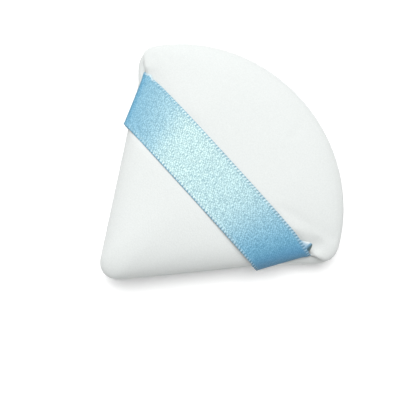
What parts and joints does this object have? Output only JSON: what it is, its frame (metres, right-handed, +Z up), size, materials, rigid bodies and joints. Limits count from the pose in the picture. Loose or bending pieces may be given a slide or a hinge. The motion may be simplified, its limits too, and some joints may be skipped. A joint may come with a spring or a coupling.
{
  "type": "powder puff",
  "caption": "Wedge-shaped velour powder puff with a rounded tip and a wide arc, padded with foam, with a satin ribbon strap across its face to slip fingers under.",
  "frame": {"origin": "the middle of the puff's outline, on the surface that it lies on", "axes": "+Z up through the face with the ribbon, +Y from the tip to the arc, +X along the ribbon"},
  "size_m": [0.0808, 0.076, 0.0186],
  "materials": {
    "velour": "short white velour pile",
    "foam": "open-cell foam, off-white",
    "ribbon": "light blue satin with a woven edge",
    "thread": "white sewing thread"
  },
  "bodies": {
    "puff": {"front_panel": "velour", "back_panel": "velour", "foam_core": "foam", "ribbon_end_left": "ribbon", "ribbon_end_right": "ribbon", "needle_thread": "thread", "bobbin_thread": "thread", "closing_thread": "thread"},
    "strap": {"ribbon_strap": "ribbon"}
  },
  "joints": [
    {"name": "strap_lift", "type": "slide", "parent": "puff", "child": "strap", "axis": [0, 0, 1], "range_m": [0, 0.005]}
  ]
}
